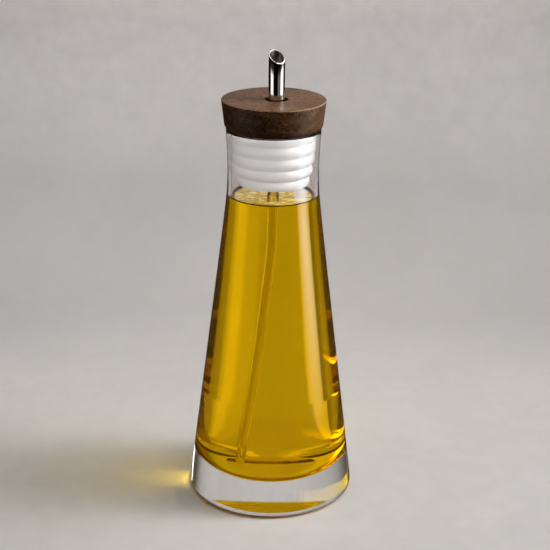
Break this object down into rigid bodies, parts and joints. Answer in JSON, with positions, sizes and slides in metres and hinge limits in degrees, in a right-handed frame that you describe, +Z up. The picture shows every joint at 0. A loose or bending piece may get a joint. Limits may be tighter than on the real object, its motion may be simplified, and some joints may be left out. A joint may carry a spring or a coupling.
{
  "type": "oil dispenser bottle",
  "caption": "Tapered clear glass bottle of golden cooking oil, closed by a ribbed white stopper under a turned walnut cap, with a slant-cut steel pouring tube and a thin dip tube.",
  "frame": {"origin": "Centre of the flat underside of the bottle, on the table plane.", "axes": "+Z up along the bottle's axis, -Y towards the viewer of the picture, +X to the viewer's right. The low lip of the spout faces +X and -Y."},
  "size_m": [0.088, 0.088, 0.2408],
  "materials": {
    "glass": "clear, polished",
    "oil": "clear golden liquid",
    "silicone": "smooth satin white",
    "walnut": "satin lacquer over dark walnut",
    "steel": "polished",
    "clear_plastic": "clear, flexible"
  },
  "bodies": {
    "root": {"bottle": "glass", "oil": "oil", "stopper": "silicone", "cap": "walnut", "spout": "steel", "dip_tube": "clear_plastic"}
  },
  "joints": []
}
